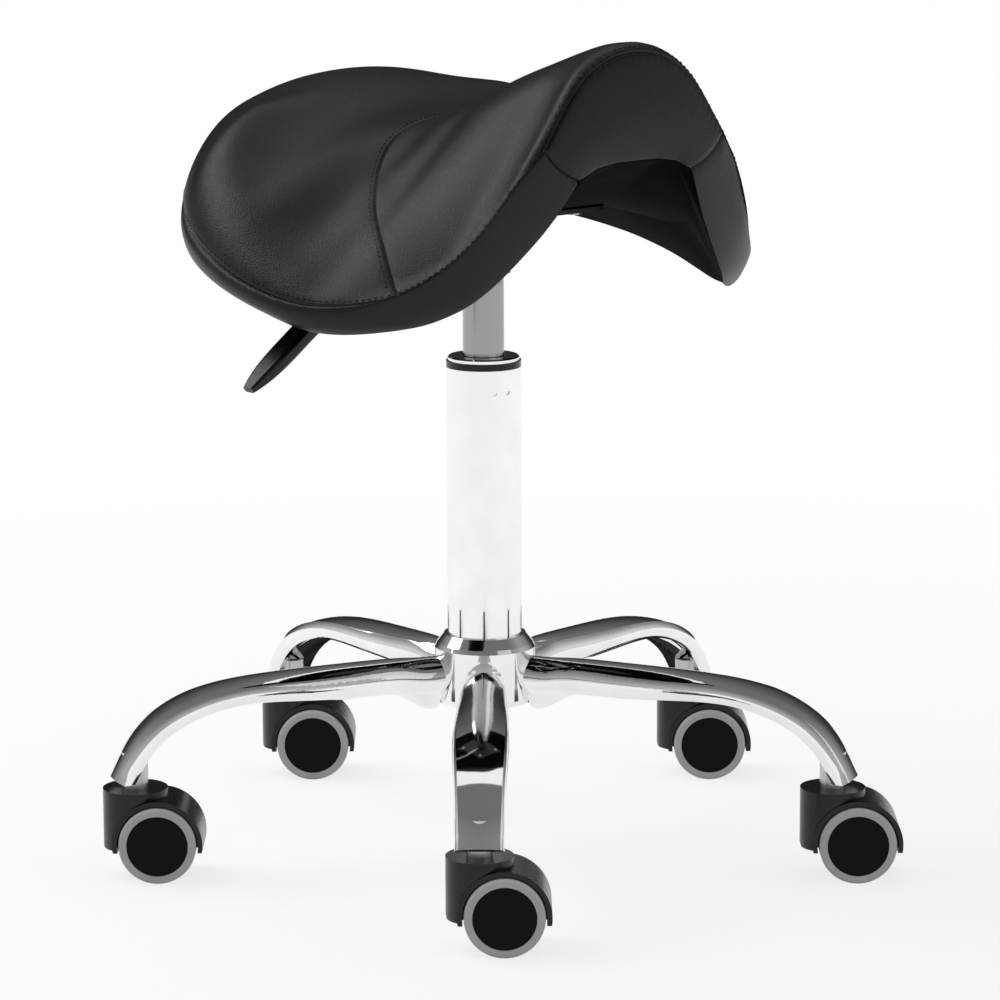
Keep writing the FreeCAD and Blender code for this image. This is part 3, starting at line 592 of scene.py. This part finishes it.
FINISHES = (
    ("hub", chrome), ("leg_sockets", steel), ("leg_", chrome), ("column_tube", satin), ("cap_ring", chrome),
    ("gas_cylinder", cylinder_finish), ("guide_bushing", black_plastic), ("thrust_bearing", steel),
    ("piston", steel), ("rod_clip", zinc), ("valve_pin", steel), ("mounting_plate", black_metal),
    ("cone_socket", black_metal), ("lever_rod", steel), ("lever_handle", black_plastic),
    ("lever_pivot_pin", steel), ("seat_bolts", zinc), ("seat_tee_nuts", zinc), ("seat_foam", foam_finish),
    ("seat_shell", plywood), ("caster_stems", steel), ("caster_housing", black_plastic),
    ("caster_axle", steel), ("wheel_disc", disc_plastic), ("wheel_tread", tread_rubber),
    ("seat_cover", cover), ("seat_border", cover), ("seat_pommel", cover),
)
for node_name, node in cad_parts.items():
    finish = next(finish for start, finish in FINISHES if node_name.startswith(start))
    for slot in node.material_slots:
        slot.material = finish

# The cover's panels

columns = np.arange(RING)
from_ridge = np.minimum(columns, RING - 1 - columns)
is_top = from_ridge < HEM
is_band = (from_ridge >= HEM) & (from_ridge < LOW)
front_part = ring_quads[:seam_row]
rear_part = ring_quads[seam_row:]

panels = {
    "cover_rear_panel": (rear_part[:, is_top], "seat_cover_rear", cover),
    "cover_front_panel": (front_part[:, is_top], "seat_cover_front", cover),
    "cover_border": (ring_quads[:, is_band], "seat_border", cover),
    "cover_underside": (ring_quads[:, ~is_top & ~is_band], "seat_border", under_cloth),
    "cover_pommel_face": (face_quads, "seat_pommel_panel", cover),
}
for name, (quads, node, finish) in panels.items():
    piece = panel(name, quads, finish)
    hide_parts(node)

under_ids = np.unique(ring_quads[:, ~is_top & ~is_band])
edge_gap, _ = nearest(points, [points[right_low], points[left_low]])
depth = np.full(len(points), FOAM_DEPTH)
depth[under_ids] += SHELL_DEPTH * np.clip((edge_gap[under_ids] - 38) / 25, 0, 1)
core = smoothed(points - normals * depth[:, None], all_quads, np.full(len(points), 0.6), CORE_ROUNDS)
near_tail = np.clip((core[:, 1] + TAIL + TAIL_REACH) / TAIL_REACH, 0, 1)
core[:, 1] -= 8.0 * near_tail
core[:, 2] += (464.0 - core[:, 2]) * 0.45 * near_tail ** 0.5
core[:, 0] *= 1 - 0.25 * near_tail
core_faces = [[v for k, v in enumerate(quad) if v != quad[k - 1]] for quad in all_quads.tolist()]
foam_core = new_piece("foam_core", core, [f for f in core_faces if len(f) > 2], foam_finish, "seat")
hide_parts("seat_foam")

stitch_lines = [
    ring_ids[:-1, HEM - 6],
    ring_ids[:-1, RING - HEM + 6],
    ring_ids[seam_row + 6, over][7:-7],
    ring_ids[6, over][7:-7],
]
vertices, faces = [], []
for line in stitch_lines:
    more_vertices, more_faces = stitched(line)
    base = len(vertices)
    vertices += more_vertices
    faces += [[v + base for v in f] for f in more_faces]
stitching = new_piece("cover_stitching", vertices, faces, thread, "seat")

# Floor, light and camera

RIGHT = Vector((0.751825, -0.659353, 0.0)).normalized()
AHEAD = Vector((0.658811, 0.752277, 0.0)).normalized()


def floor_material():
    made, tree, shader = material("white_floor", Roughness=0.6)
    shader.inputs["Base Color"].default_value = (0.34, 0.34, 0.34, 1)
    shader.inputs["Specular IOR Level"].default_value = 0.2
    rays = add(tree, "ShaderNodeLightPath")
    seen = add(tree, "ShaderNodeMath", {0: rays.outputs["Is Camera Ray"], 1: rays.outputs["Is Glossy Ray"]},
               operation="MAXIMUM")
    glow = add(tree, "ShaderNodeEmission", {"Color": (1, 1, 1, 1), "Strength": 0.76})
    near = add(tree, "ShaderNodeAddShader", {0: shader.outputs[0], 1: glow.outputs[0]})
    white = add(tree, "ShaderNodeEmission", {"Color": (1, 1, 1, 1), "Strength": 1.0})
    away = add(tree, "ShaderNodeVectorMath", {0: coordinates(tree)}, operation="LENGTH").outputs["Value"]
    fade = add(tree, "ShaderNodeMapRange", {"Value": away, "From Min": 0.45,
               "From Max": 1.3}).outputs["Result"]
    lit = add(tree, "ShaderNodeMixShader", {"Fac": fade, 1: near.outputs[0], 2: white.outputs[0]})
    pick = add(tree, "ShaderNodeMixShader", {"Fac": seen.outputs["Value"], 1: shader.outputs[0],
               2: lit.outputs[0]})
    tree.links.new(pick.outputs[0], tree.nodes["Material Output"].inputs["Surface"])
    return made


def stage_floor():
    bpy.ops.mesh.primitive_plane_add(size=14, location=(0, 0, 0))
    floor = bpy.context.object
    floor.name = "floor"
    floor.data.materials.append(floor_material())


def studio_world():
    """A studio that is pale at both sides, greyer in front of the stool and dark behind it."""
    world = bpy.data.worlds.new("studio")
    bpy.context.scene.world = world
    world.use_nodes = True
    tree = world.node_tree
    tree.nodes.clear()
    direction = add(tree, "ShaderNodeTexCoord").outputs["Generated"]
    height = add(tree, "ShaderNodeSeparateXYZ", {"Vector": direction}).outputs["Z"]
    behind = add(tree, "ShaderNodeVectorMath", {0: direction, 1: tuple(AHEAD)}, operation="DOT_PRODUCT")
    walls = add(tree, "ShaderNodeValToRGB", {"Fac": spread_from(tree, behind.outputs["Value"], -1.0, 1.0)})
    stops = walls.color_ramp.elements
    stops[0].position, stops[0].color = 0.0, (0.50, 0.50, 0.50, 1)
    stops[1].position, stops[1].color = 1.0, (0.03, 0.03, 0.03, 1)
    for place, tone in ((0.18, 0.56), (0.38, 0.80), (0.62, 0.86), (0.80, 0.32), (0.90, 0.05)):
        stops.new(place).color = (tone, tone, tone, 1)
    up = spread_from(tree, height, 0.15, 0.75)
    dimmed = add(tree, "ShaderNodeMix", {"Factor": up, 6: walls.outputs["Color"], 7: (0.20, 0.20, 0.20, 1)},
                 data_type="RGBA")
    shaded = add(tree, "ShaderNodeBackground", {"Color": dimmed.outputs[2], "Strength": 0.85})
    white = add(tree, "ShaderNodeBackground", {"Color": (1, 1, 1, 1), "Strength": 1.0})
    rays = add(tree, "ShaderNodeLightPath")
    pick = add(tree, "ShaderNodeMixShader",
               {"Fac": rays.outputs["Is Camera Ray"], 1: shaded.outputs[0], 2: white.outputs[0]})
    add(tree, "ShaderNodeOutputWorld", {"Surface": pick.outputs[0]})


def soft_lamp(name, across, ahead, height, size, power, aim=(0, 0, 0.3)):
    data = bpy.data.lights.new(name, "AREA")
    data.shape = "RECTANGLE"
    data.size, data.size_y = size
    data.energy = power
    lamp = bpy.data.objects.new(name, data)
    lamp.location = RIGHT * across + AHEAD * ahead + Vector((0, 0, height))
    lamp.rotation_euler = (Vector(aim) - lamp.location).to_track_quat("-Z", "Y").to_euler()
    bpy.context.collection.objects.link(lamp)


def photo_camera():
    data = bpy.data.cameras.new("camera")
    data.sensor_fit = "HORIZONTAL"
    data.sensor_width = 36.0
    data.lens = 4378.35 / 1000 * 36.0
    data.clip_end = 50
    camera = bpy.data.objects.new("camera", data)
    right = Vector((0.751825, -0.659353, -0.003632))
    up = Vector((0.128656, 0.141292, 0.981572))
    back = -Vector((0.646689, 0.738438, -0.191056))
    turn = Matrix((right, up, back)).transposed().to_4x4()
    camera.matrix_world = Matrix.Translation((-1.886543, -2.17022, 0.797766)) @ turn
    bpy.context.collection.objects.link(camera)
    bpy.context.scene.camera = camera


stage_floor()
studio_world()
soft_lamp("key", -1.6, 0.5, 2.0, (1.4, 1.4), 20)
soft_lamp("fill", 1.7, -1.3, 1.2, (1.4, 1.8), 3)
soft_lamp("top", 0.0, 0.6, 2.4, (2.2, 2.2), 12)
photo_camera()
bpy.context.scene.view_settings.view_transform = "Standard"
